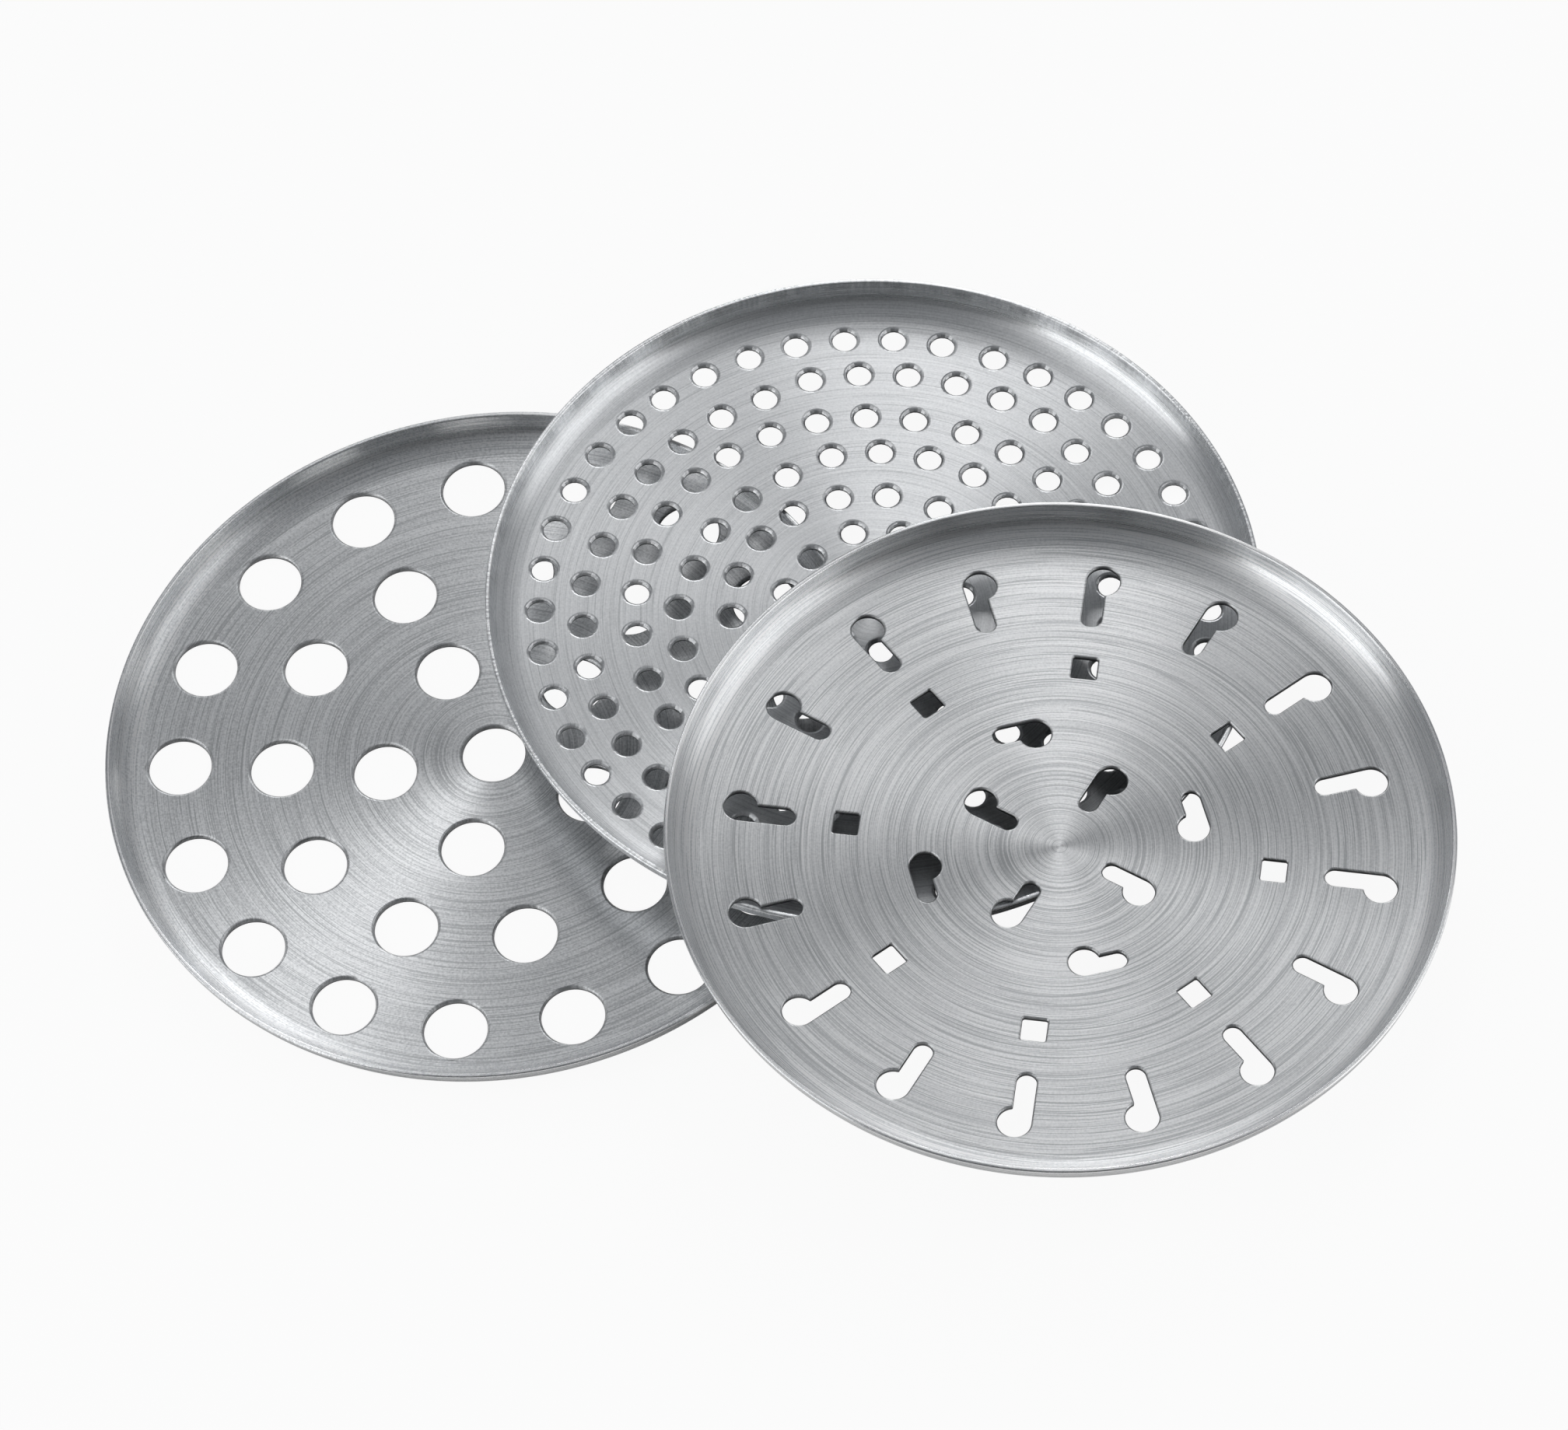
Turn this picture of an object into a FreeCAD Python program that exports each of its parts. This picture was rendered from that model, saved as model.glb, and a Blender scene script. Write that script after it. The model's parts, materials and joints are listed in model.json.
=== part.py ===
"""Set of three interchangeable food mill discs, lying loose in an overlapping pile.

Each disc is one piece of stainless sheet, pressed into a shallow pan with a raised rim and then
punched.  All three fit the same mill, so they share one rim, one depth and one sheet gauge, and
differ only in their holes:

coarse_disc   round holes in three rings about a middle hole
medium_disc   small round holes in seven rows, punched in six sectors
keyhole_disc  keyhole slots and square holes, for drop noodles and for grating

The coarse disc lies flat.  The medium disc leans on the coarse disc's rim, with its far edge on
the table, and the keyhole disc lies flat on the medium disc's rim.
"""

import FreeCAD, Part

import math
import os

import Sketcher

V = FreeCAD.Vector
Z_AXIS = V(0, 0, 1)

# Driving dimensions: millimetres and degrees.
SIZES = {
    # the pressed pan, alike on every disc
    "rim_radius": 75.0,
    "rim_height": 7.0,
    "sheet_gauge": 1.0,
    "wall_lean": 12.0,
    "bend_radius": 6.8,
    "lip_round": 0.35,
    # coarse disc
    "coarse_hole_radius": 6.1,
    "coarse_first_ring": 21.3,
    "coarse_ring_step": 20.0,
    # medium disc
    "medium_hole_radius": 2.4,
    "medium_last_row": 64.75,
    "medium_row_step": 9.3,
    "medium_shift_out": 0.79,
    "medium_shift_round": 0.57,
    # keyhole disc
    "outer_head_radius": 3.2,
    "outer_tail_radius": 1.9,
    "outer_slot_length": 13.9,
    "outer_slot_reach": 64.4,
    "inner_head_radius": 3.05,
    "inner_tail_radius": 1.8,
    "inner_slot_length": 11.4,
    "inner_slot_reach": 20.9,
    "cross_slot_length": 11.0,
    "cross_slot_radius": 27.0,
    "slot_step_angle": 22.5,
    "square_side": 4.8,
    "square_row_radius": 40.8,
    # how the discs lie, from above, measured from the coarse disc's middle
    "medium_ahead": 77.14,
    "medium_aside": 11.34,
    "keyhole_ahead": 103.11,
    "keyhole_aside": -51.51,
    "lean_direction": 7.43,
    "coarse_turn": 106.68,
    "medium_turn": 93.77,
    "keyhole_turn": -16.7,
    "rest_gap": 0.02,
}

COARSE_RING_COUNTS = (5, 11, 17)
MEDIUM_SECTORS = 6
MEDIUM_ROWS = 7
OUTER_SLOTS = 16
SQUARE_HOLES = 8
INNER_SLOTS = 4

# ends and centre of a sketch curve, as the sketcher numbers them
START, END, CENTRE = 1, 2, 3
ORIGIN_POINT = (-1, 1)
X_AXIS = -1


def size(name):
    """Value of one cell of the sheet."""
    return getattr(sheet, name)


def ref(name):
    """How an expression names one cell of the sheet."""
    return "Sizes." + name


def turned(point, angle):
    """Point turned about the origin by an angle in degrees, counter-clockwise."""
    c, s = math.cos(math.radians(angle)), math.sin(math.radians(angle))
    return V(point.x * c - point.y * s, point.x * s + point.y * c, 0)


# ---------------------------------------------------------------- sheet and sketch helpers


def make_sheet(doc):
    """Spreadsheet with one named cell for each driving dimension."""
    new_sheet = doc.addObject("Spreadsheet::Sheet", "Sizes")
    for row, (name, value) in enumerate(SIZES.items(), start=1):
        new_sheet.set(f"A{row}", name)
        new_sheet.set(f"B{row}", str(value))
        new_sheet.setAlias(f"B{row}", name)
    doc.recompute()
    return new_sheet


def origin_feature(body, role):
    """One of the body's own origin planes or axes, by its role."""
    return next(f for f in body.Origin.OriginFeatures if f.Role == role)


def new_sketch(body, name, plane):
    """Empty sketch on one of the body's origin planes."""
    sketch = body.newObject("Sketcher::SketchObject", name)
    sketch.AttachmentSupport = [(origin_feature(body, plane), "")]
    sketch.MapMode = "FlatFace"
    return sketch


def bind(sketch, constraint, expression=None):
    """Add a dimension to the sketch, driven by an expression when one is given."""
    index = sketch.addConstraint(constraint)
    if expression:
        sketch.setExpression(f"Constraints[{index}]", expression)
    return index


def arc(centre, radius, first, last):
    """Arc of a circle in the sketch plane, counter-clockwise between two angles in degrees."""
    circle = Part.Circle(centre, Z_AXIS, radius)
    return Part.ArcOfCircle(circle, math.radians(first), math.radians(last))


def cut_through(body, sketch, name):
    """Pocket that punches the sketch right through the pan's floor."""
    pocket = body.newObject("PartDesign::Pocket", name)
    pocket.Profile = sketch
    pocket.Type = "ThroughAll"
    pocket.Midplane = True
    sketch.Visibility = False
    body.Tip = pocket
    return pocket


def repeat_round(body, feature, count, name):
    """The feature repeated evenly about the disc's axis."""
    pattern = body.newObject("PartDesign::PolarPattern", name)
    pattern.Originals = [feature]
    pattern.Axis = (origin_feature(body, "Z_Axis"), [""])
    pattern.Angle = 360
    pattern.Occurrences = count
    body.Tip = pattern
    return pattern


# ---------------------------------------------------------------- the pressed pan


def flat_radius():
    """Radius of the pan's flat floor, where the bend up to the wall begins."""
    lean = math.radians(size("wall_lean"))
    foot = lip_centre_radius() + size("lip_round") / math.cos(lean)
    foot -= (size("rim_height") - size("lip_round")) * math.tan(lean)
    return foot - size("bend_radius") * math.tan(math.radians(45) - lean / 2)


def lip_centre_radius():
    """Radius of the circle that the lip's outer rounding is struck from."""
    return size("rim_radius") - size("lip_round")


def draw_section(sketch):
    """Half section of the pan: floor, bend, leaning wall and rounded lip, closed on the axis."""
    lean = size("wall_lean")
    gauge = size("sheet_gauge")
    bend = size("bend_radius")
    lip = size("lip_round")
    height = size("rim_height")
    flat = flat_radius()
    out = turned(V(1, 0, 0), -lean)
    bend_centre = V(flat, bend, 0)
    outer_foot = bend_centre + out * bend
    inner_foot = bend_centre + out * (bend - gauge)
    lip_outer = V(lip_centre_radius(), height - lip, 0)
    lip_inner = lip_outer - V((gauge - 2 * lip * math.cos(math.radians(lean))), 0, 0)
    outer_top = lip_outer + out * lip
    inner_top = lip_inner - out * lip

    floor, outer_bend, outer_wall, outer_lip, lip_top = range(5)
    inner_lip, inner_wall, inner_bend, top, axis = range(5, 10)
    sketch.addGeometry(Part.LineSegment(V(0, 0, 0), V(flat, 0, 0)))
    sketch.addGeometry(arc(bend_centre, bend, -90, -lean))
    sketch.addGeometry(Part.LineSegment(outer_foot, outer_top))
    sketch.addGeometry(arc(lip_outer, lip, -lean, 90))
    sketch.addGeometry(Part.LineSegment(lip_outer + V(0, lip, 0), lip_inner + V(0, lip, 0)))
    sketch.addGeometry(arc(lip_inner, lip, 90, 180 - lean))
    sketch.addGeometry(Part.LineSegment(inner_top, inner_foot))
    sketch.addGeometry(arc(bend_centre, bend - gauge, -90, -lean))
    sketch.addGeometry(Part.LineSegment(V(flat, gauge, 0), V(0, gauge, 0)))
    sketch.addGeometry(Part.LineSegment(V(0, gauge, 0), V(0, 0, 0)))

    bind(sketch, Sketcher.Constraint("Coincident", floor, START, *ORIGIN_POINT))
    bind(sketch, Sketcher.Constraint("Horizontal", floor))
    bind(sketch, Sketcher.Constraint("Tangent", floor, END, outer_bend, START))
    bind(sketch, Sketcher.Constraint("Tangent", outer_bend, END, outer_wall, START))
    bind(sketch, Sketcher.Constraint("Tangent", outer_wall, END, outer_lip, START))
    bind(sketch, Sketcher.Constraint("Tangent", outer_lip, END, lip_top, START))
    bind(sketch, Sketcher.Constraint("Horizontal", lip_top))
    bind(sketch, Sketcher.Constraint("Tangent", lip_top, END, inner_lip, START))
    bind(sketch, Sketcher.Constraint("Tangent", inner_lip, END, inner_wall, START))
    bind(sketch, Sketcher.Constraint("Tangent", inner_wall, END, inner_bend, END))
    bind(sketch, Sketcher.Constraint("Tangent", inner_bend, START, top, START))
    bind(sketch, Sketcher.Constraint("Coincident", top, END, axis, START))
    bind(sketch, Sketcher.Constraint("Coincident", axis, END, floor, START))
    bind(sketch, Sketcher.Constraint("Vertical", axis))
    bind(sketch, Sketcher.Constraint("Horizontal", top))
    bind(sketch, Sketcher.Constraint("Coincident", inner_bend, CENTRE, outer_bend, CENTRE))
    bind(sketch, Sketcher.Constraint("Equal", outer_lip, inner_lip))
    bind(sketch, Sketcher.Constraint("Radius", outer_lip, lip), ref("lip_round"))
    bind(sketch, Sketcher.Constraint("Radius", outer_bend, bend), ref("bend_radius"))
    bind(sketch, Sketcher.Constraint("DistanceY", axis, END, axis, START, gauge), ref("sheet_gauge"))
    rise = Sketcher.Constraint("DistanceY", *ORIGIN_POINT, lip_top, START, height)
    bind(sketch, rise, ref("rim_height"))
    bind(
        sketch,
        Sketcher.Constraint("DistanceX", *ORIGIN_POINT, outer_lip, CENTRE, lip_centre_radius()),
        ref("rim_radius") + " - " + ref("lip_round"),
    )
    bind(
        sketch,
        Sketcher.Constraint("Angle", X_AXIS, 1, outer_wall, START, math.radians(90 - lean)),
        "90 deg - " + ref("wall_lean") + " * 1 deg",
    )


def pressed_pan(doc, label):
    """Body holding the plain pan, before its holes are punched."""
    body = doc.addObject("PartDesign::Body", label)
    body.Label = label
    section = new_sketch(body, label + "_section", "XZ_Plane")
    draw_section(section)
    doc.recompute()
    pan = body.newObject("PartDesign::Revolution", label + "_pan")
    pan.Profile = section
    pan.ReferenceAxis = (section, ["V_Axis"])
    pan.Angle = 360
    section.Visibility = False
    body.Tip = pan
    doc.recompute()
    return body


# ---------------------------------------------------------------- outlines of the holes


def draw_round_hole(sketch, centre, centre_x, centre_y, radius_cell):
    """Round hole whose centre follows two expressions."""
    index = sketch.addGeometry(Part.Circle(centre, Z_AXIS, size(radius_cell)))
    bind(sketch, Sketcher.Constraint("Radius", index, size(radius_cell)), ref(radius_cell))
    bind(sketch, Sketcher.Constraint("DistanceX", *ORIGIN_POINT, index, CENTRE, centre.x), centre_x)
    bind(sketch, Sketcher.Constraint("DistanceY", *ORIGIN_POINT, index, CENTRE, centre.y), centre_y)


def draw_keyhole(sketch, kind, length_cell, reach, reach_text):
    """Keyhole slot along X: a round head out at its reach, and a narrower tail back from it.

    One side is straight from the tail's round end to the head.  The head bulges out of the
    other side only.
    """
    head, tail = size(kind + "_head_radius"), size(kind + "_tail_radius")
    head_x = reach - head
    tail_x = reach - size(length_cell) + tail
    neck_drop = head - 2 * tail
    neck_back = math.sqrt(head**2 - neck_drop**2)
    neck_angle = 180 + math.degrees(math.asin(-neck_drop / head))

    head_arc, straight, tail_arc, neck_side = range(4)
    sketch.addGeometry(arc(V(head_x, tail - head, 0), head, neck_angle, 450))
    sketch.addGeometry(Part.LineSegment(V(head_x, tail, 0), V(tail_x, tail, 0)))
    sketch.addGeometry(arc(V(tail_x, 0, 0), tail, 90, 270))
    sketch.addGeometry(Part.LineSegment(V(tail_x, -tail, 0), V(head_x - neck_back, -tail, 0)))

    head_x_text = f"{reach_text} - {ref(kind + '_head_radius')}"
    tail_x_text = f"{reach_text} - {ref(length_cell)} + {ref(kind + '_tail_radius')}"
    bind(sketch, Sketcher.Constraint("Tangent", head_arc, END, straight, START))
    bind(sketch, Sketcher.Constraint("Tangent", straight, END, tail_arc, START))
    bind(sketch, Sketcher.Constraint("Tangent", tail_arc, END, neck_side, START))
    bind(sketch, Sketcher.Constraint("Coincident", neck_side, END, head_arc, START))
    bind(sketch, Sketcher.Constraint("Horizontal", straight))
    bind(sketch, Sketcher.Constraint("Horizontal", neck_side))
    bind(sketch, Sketcher.Constraint("PointOnObject", tail_arc, CENTRE, X_AXIS))
    bind(sketch, Sketcher.Constraint("Radius", head_arc, head), ref(kind + "_head_radius"))
    bind(sketch, Sketcher.Constraint("Radius", tail_arc, tail), ref(kind + "_tail_radius"))
    bind(sketch, Sketcher.Constraint("DistanceX", *ORIGIN_POINT, head_arc, CENTRE, head_x), head_x_text)
    bind(sketch, Sketcher.Constraint("DistanceX", *ORIGIN_POINT, tail_arc, CENTRE, tail_x), tail_x_text)


def draw_square(sketch):
    """Square hole with two sides pointing at the disc's middle."""
    half = size("square_side") / 2
    middle = size("square_row_radius")
    corners = [V(middle + sx * half, sy * half, 0) for sx, sy in ((-1, -1), (1, -1), (1, 1), (-1, 1))]
    for first, last in zip(corners, corners[1:] + corners[:1]):
        sketch.addGeometry(Part.LineSegment(first, last))
    for side in range(4):
        bind(sketch, Sketcher.Constraint("Coincident", side, END, (side + 1) % 4, START))
        bind(sketch, Sketcher.Constraint("Horizontal" if side % 2 == 0 else "Vertical", side))
    near_x = f"{ref('square_row_radius')} - {ref('square_side')} / 2"
    low_y = f"{ref('square_side')} / 2"
    bind(sketch, Sketcher.Constraint("DistanceX", 0, START, 0, END, 2 * half), ref("square_side"))
    bind(sketch, Sketcher.Constraint("DistanceY", 1, START, 1, END, 2 * half), ref("square_side"))
    bind(sketch, Sketcher.Constraint("DistanceX", *ORIGIN_POINT, 0, START, middle - half), near_x)
    bind(sketch, Sketcher.Constraint("DistanceY", 0, START, *ORIGIN_POINT, half), low_y)


# ---------------------------------------------------------------- the three discs


def coarse_disc(doc):
    """Disc with large round holes: one in the middle and three rings about it."""
    body = pressed_pan(doc, "coarse_disc")
    middle = new_sketch(body, "middle_hole", "XY_Plane")
    draw_round_hole(middle, V(0, 0, 0), None, None, "coarse_hole_radius")
    cut_through(body, middle, "middle_hole_cut")
    for ring, count in enumerate(COARSE_RING_COUNTS):
        radius = size("coarse_first_ring") + ring * size("coarse_ring_step")
        radius_text = f"{ref('coarse_first_ring')} + {ring} * {ref('coarse_ring_step')}"
        sketch = new_sketch(body, f"ring_{count}", "XY_Plane")
        draw_round_hole(sketch, V(radius, 0, 0), radius_text, None, "coarse_hole_radius")
        hole = cut_through(body, sketch, f"ring_{count}_cut")
        doc.recompute()
        repeat_round(body, hole, count, f"ring_{count}_holes")
        doc.recompute()
    return body


def draw_medium_sector(sketch, sector):
    """Holes of one sixth of the medium disc.

    Row n from the middle has n holes in each sixth.  The odd rows and the even rows are punched
    by two tools that each sit a little off centre, so neighbouring sectors are moved opposite
    ways: the odd rows round the disc, and the even rows in or out.
    """
    sector_angle = 360 / MEDIUM_SECTORS
    sign = 1 if sector % 2 == 0 else -1
    for row in range(1, MEDIUM_ROWS + 1):
        odd = row % 2 == 1
        first = -(row - 1) / 2 if odd else 0
        shift_cell = "medium_shift_round" if odd else "medium_shift_out"
        shift_angle = -sector * sector_angle + (90 if odd else -sector_angle / 2)
        inward = (MEDIUM_ROWS - row) * size("medium_row_step")
        radius = size("medium_last_row") - inward
        radius_text = f"({ref('medium_last_row')} - {MEDIUM_ROWS - row} * {ref('medium_row_step')})"
        shift = turned(V(sign * size(shift_cell), 0, 0), shift_angle)
        for place in range(row):
            angle = -sector * sector_angle - (first + place) * sector_angle / row
            centre = turned(V(radius, 0, 0), angle) + shift
            texts = [
                f"{radius_text} * {trig}({angle} deg)"
                f" + {sign} * {ref(shift_cell)} * {trig}({shift_angle} deg)"
                for trig in ("cos", "sin")
            ]
            draw_round_hole(sketch, centre, texts[0], texts[1], "medium_hole_radius")


def medium_disc(doc):
    """Disc with small round holes: two sectors drawn, then repeated three times."""
    body = pressed_pan(doc, "medium_disc")
    for sector in (0, 1):
        sketch = new_sketch(body, f"sector_{sector}", "XY_Plane")
        draw_medium_sector(sketch, sector)
        doc.recompute()
        holes = cut_through(body, sketch, f"sector_{sector}_cut")
        doc.recompute()
        repeat_round(body, holes, MEDIUM_SECTORS // 2, f"sector_{sector}_holes")
        doc.recompute()
    return body


def keyhole_disc(doc):
    """Disc with keyhole slots and square holes, all on one grid of equal angles."""
    body = pressed_pan(doc, "keyhole_disc")
    step = size("slot_step_angle")

    outer = new_sketch(body, "outer_slot", "XY_Plane")
    draw_keyhole(outer, "outer", "outer_slot_length", size("outer_slot_reach"), ref("outer_slot_reach"))
    outer_cut = cut_through(body, outer, "outer_slot_cut")
    doc.recompute()
    repeat_round(body, outer_cut, OUTER_SLOTS, "outer_slots")

    square = new_sketch(body, "square_hole", "XY_Plane")
    draw_square(square)
    square_cut = cut_through(body, square, "square_hole_cut")
    doc.recompute()
    repeat_round(body, square_cut, SQUARE_HOLES, "square_holes")

    inner = new_sketch(body, "inner_slot", "XY_Plane")
    draw_keyhole(inner, "inner", "inner_slot_length", size("inner_slot_reach"), ref("inner_slot_reach"))
    inner.AttachmentOffset = FreeCAD.Placement(V(0, 0, 0), FreeCAD.Rotation(Z_AXIS, -step))
    inner.setExpression("AttachmentOffset.Rotation.Angle", f"-{ref('slot_step_angle')} * 1 deg")
    inner_cut = cut_through(body, inner, "inner_slot_cut")
    doc.recompute()
    repeat_round(body, inner_cut, INNER_SLOTS, "inner_slots")

    cross = new_sketch(body, "cross_slot", "XY_Plane")
    cross_reach_text = f"{ref('cross_slot_length')} / 2"
    draw_keyhole(cross, "inner", "cross_slot_length", size("cross_slot_length") / 2, cross_reach_text)
    middle = turned(V(size("cross_slot_radius"), 0, 0), step)
    cross.AttachmentOffset = FreeCAD.Placement(middle, FreeCAD.Rotation(Z_AXIS, step - 90))
    middle_text = f"{ref('cross_slot_radius')} * %s({ref('slot_step_angle')} * 1 deg) * 1 mm"
    cross.setExpression("AttachmentOffset.Base.x", middle_text % "cos")
    cross.setExpression("AttachmentOffset.Base.y", middle_text % "sin")
    cross.setExpression("AttachmentOffset.Rotation.Angle", f"({ref('slot_step_angle')} - 90) * 1 deg")
    cross_cut = cut_through(body, cross, "cross_slot_cut")
    doc.recompute()
    repeat_round(body, cross_cut, INNER_SLOTS, "cross_slots")
    doc.recompute()
    return body


# ---------------------------------------------------------------- how the discs lie


def edge_height(lean):
    """Height of a leaning disc's middle when its bent edge just touches the table."""
    return flat_radius() * math.sin(lean) + size("bend_radius") * (1 - math.cos(lean))


def lean_angle(distance):
    """Angle, in radians, at which a disc touches the table and the lip of the flat disc.

    The leaning disc's middle is the given distance from the flat disc's, along the lean.
    """
    lip, gap = size("lip_round"), size("rest_gap")
    lip_height = size("rim_height") - lip

    def lip_below_floor(lean):
        s, c = math.sin(lean), math.cos(lean)
        along = (lip_centre_radius() - distance) * s
        up = (lip_height - edge_height(lean) - gap) * c
        return -(along + up) - lip - gap

    low, high = 0.0, math.radians(30)
    for _ in range(60):
        middle = (low + high) / 2
        if lip_below_floor(middle) < 0:
            low = middle
        else:
            high = middle
    return high


def place_discs(coarse, medium, keyhole):
    """Put the coarse disc flat, the medium disc leaning on it, and the keyhole disc on that one."""
    direction = size("lean_direction")
    lean_way = turned(V(1, 0, 0), direction)
    medium_at = V(size("medium_ahead"), size("medium_aside"), 0)
    keyhole_at = V(size("keyhole_ahead"), size("keyhole_aside"), 0)
    lean = lean_angle(medium_at.dot(lean_way))
    tilt = FreeCAD.Rotation(turned(V(0, 1, 0), direction), math.degrees(lean))
    normal = tilt.multVec(Z_AXIS)

    medium_at.z = edge_height(lean) + size("rest_gap")
    above = size("rim_height") + size("rest_gap")
    away = keyhole_at - V(medium_at.x, medium_at.y, 0)
    keyhole_at.z = medium_at.z + (above - normal.dot(away)) / normal.z

    coarse.Placement = FreeCAD.Placement(V(0, 0, 0), FreeCAD.Rotation(Z_AXIS, size("coarse_turn")))
    for body, at, turn in ((medium, medium_at, "medium_turn"), (keyhole, keyhole_at, "keyhole_turn")):
        body.Placement = FreeCAD.Placement(at, tilt * FreeCAD.Rotation(Z_AXIS, size(turn)))


def centre_over_origin(doc, bodies):
    """Move the whole pile so that the middle of its bounding box is over the origin."""
    doc.recompute()
    boxes = [body.Shape.optimalBoundingBox(False, False) for body in bodies]
    middle_x = (min(b.XMin for b in boxes) + max(b.XMax for b in boxes)) / 2
    middle_y = (min(b.YMin for b in boxes) + max(b.YMax for b in boxes)) / 2
    for body in bodies:
        place = body.Placement
        place.Base = place.Base - V(middle_x, middle_y, 0)
        body.Placement = place
    doc.recompute()


# ---------------------------------------------------------------- checks and output


def check_document(doc, bodies):
    """Stop if anything failed to compute or any disc isn't one valid solid."""
    for item in doc.Objects:
        if "Invalid" in item.State or "Error" in item.State:
            raise RuntimeError(f"{item.Label} failed: {item.State}")
    for body in bodies:
        shape = body.Shape
        if shape.isNull() or not shape.isValid() or len(shape.Solids) != 1:
            raise RuntimeError(f"{body.Label} isn't one valid solid")


def keyhole_area(kind, length_cell):
    """Area of one keyhole slot, to check what its pocket removed."""
    head, tail = size(kind + "_head_radius"), size(kind + "_tail_radius")
    head_x, tail_x = size(length_cell) - head, tail
    steps = 4000
    area = 0.0
    for step_index in range(steps):
        x = (step_index + 0.5) * size(length_cell) / steps
        top = bottom = 0.0
        if x < tail_x:
            top = bottom = math.sqrt(tail**2 - (tail_x - x) ** 2)
        elif x < head_x:
            top = bottom = tail
        if abs(x - head_x) < head:
            chord = math.sqrt(head**2 - (x - head_x) ** 2)
            bottom = max(bottom, head - tail + chord)
            if x >= head_x:
                top = tail - head + chord
        area += (top + bottom) * size(length_cell) / steps
    return area


def check_volumes(coarse, medium, keyhole):
    """Compare each disc's volume with the plain pan less all its holes."""
    plain = {body.Label: body.Group[1].Shape.Volume for body in (coarse, medium, keyhole)}
    medium_holes = MEDIUM_SECTORS * MEDIUM_ROWS * (MEDIUM_ROWS + 1) / 2
    punched = {
        "coarse_disc": (1 + sum(COARSE_RING_COUNTS)) * math.pi * size("coarse_hole_radius") ** 2,
        "medium_disc": medium_holes * math.pi * size("medium_hole_radius") ** 2,
        "keyhole_disc": OUTER_SLOTS * keyhole_area("outer", "outer_slot_length")
        + INNER_SLOTS * keyhole_area("inner", "inner_slot_length")
        + INNER_SLOTS * keyhole_area("inner", "cross_slot_length")
        + SQUARE_HOLES * size("square_side") ** 2,
    }
    for body in (coarse, medium, keyhole):
        expected = plain[body.Label] - punched[body.Label] * size("sheet_gauge")
        print(f"{body.Label}: {body.Shape.Volume:.1f} mm3, expected {expected:.1f}")
        if abs(body.Shape.Volume - expected) > 0.002 * expected:
            raise RuntimeError(f"{body.Label} has the wrong volume")


document = FreeCAD.newDocument("food_mill_discs")
sheet = make_sheet(document)
discs = [coarse_disc(document), medium_disc(document), keyhole_disc(document)]
place_discs(*discs)
centre_over_origin(document, discs)
check_document(document, discs)
check_volumes(*discs)

os.makedirs("parts", exist_ok=True)
for disc in discs:
    disc.Shape.exportStep(f"parts/{disc.Label}.step")
    box = disc.Shape.optimalBoundingBox(False, False)
    corners = (box.XMin, box.XMax, box.YMin, box.YMax, box.ZMin, box.ZMax)
    print(disc.Label, [round(corner, 3) for corner in corners])
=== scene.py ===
"""Looks of a set of three food mill discs, lying in a loose pile.

Every disc is one pressed and punched piece of stainless sheet.  Its rim is turned from a half
section, its punched edges are small meshes of their own, and one node tree sets those edges out
in rows and closes the sheet between them.
"""

import json
import logging
import math
from dataclasses import dataclass, field
from enum import Enum

import bpy
from mathutils import Matrix, Vector

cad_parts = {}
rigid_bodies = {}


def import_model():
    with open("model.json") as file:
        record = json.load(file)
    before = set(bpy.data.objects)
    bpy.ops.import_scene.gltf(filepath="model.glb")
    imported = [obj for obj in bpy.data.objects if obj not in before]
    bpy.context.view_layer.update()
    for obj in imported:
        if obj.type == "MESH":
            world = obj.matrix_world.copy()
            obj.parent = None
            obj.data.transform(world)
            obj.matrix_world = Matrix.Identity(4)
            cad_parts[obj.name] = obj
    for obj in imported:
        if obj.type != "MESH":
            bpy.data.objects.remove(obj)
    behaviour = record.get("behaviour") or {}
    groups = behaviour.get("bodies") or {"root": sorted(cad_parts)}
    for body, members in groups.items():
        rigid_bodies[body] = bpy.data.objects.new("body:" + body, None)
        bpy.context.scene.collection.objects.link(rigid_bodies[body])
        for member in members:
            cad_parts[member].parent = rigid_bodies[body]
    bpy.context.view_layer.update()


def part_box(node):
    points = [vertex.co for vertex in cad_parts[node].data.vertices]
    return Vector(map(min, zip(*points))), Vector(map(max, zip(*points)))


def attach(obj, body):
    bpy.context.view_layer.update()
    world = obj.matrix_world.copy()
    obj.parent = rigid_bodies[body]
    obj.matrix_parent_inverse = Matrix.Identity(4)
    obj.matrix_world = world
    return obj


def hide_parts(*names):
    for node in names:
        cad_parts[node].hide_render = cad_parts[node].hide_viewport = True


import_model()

LOG = logging.getLogger("food_mill_discs")
MM = 0.001
NOISE_MIDDLE = 0.5

# Two of the discs lean by the same amount the same way, in degrees.
SHARED_LEAN = 5.6
SHARED_HEADING = 7.43

Colour = tuple[float, float, float]
Socket = bpy.types.NodeSocket
Value = float | Socket
Several = tuple[float, ...] | Socket


class Side(Enum):
    """Which way the keyhole's head lies from its tail."""

    OUTWARD = 0.0
    CLOCKWISE = -90.0


# ------------------------------------------------------------------ where a disc lies


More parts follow.
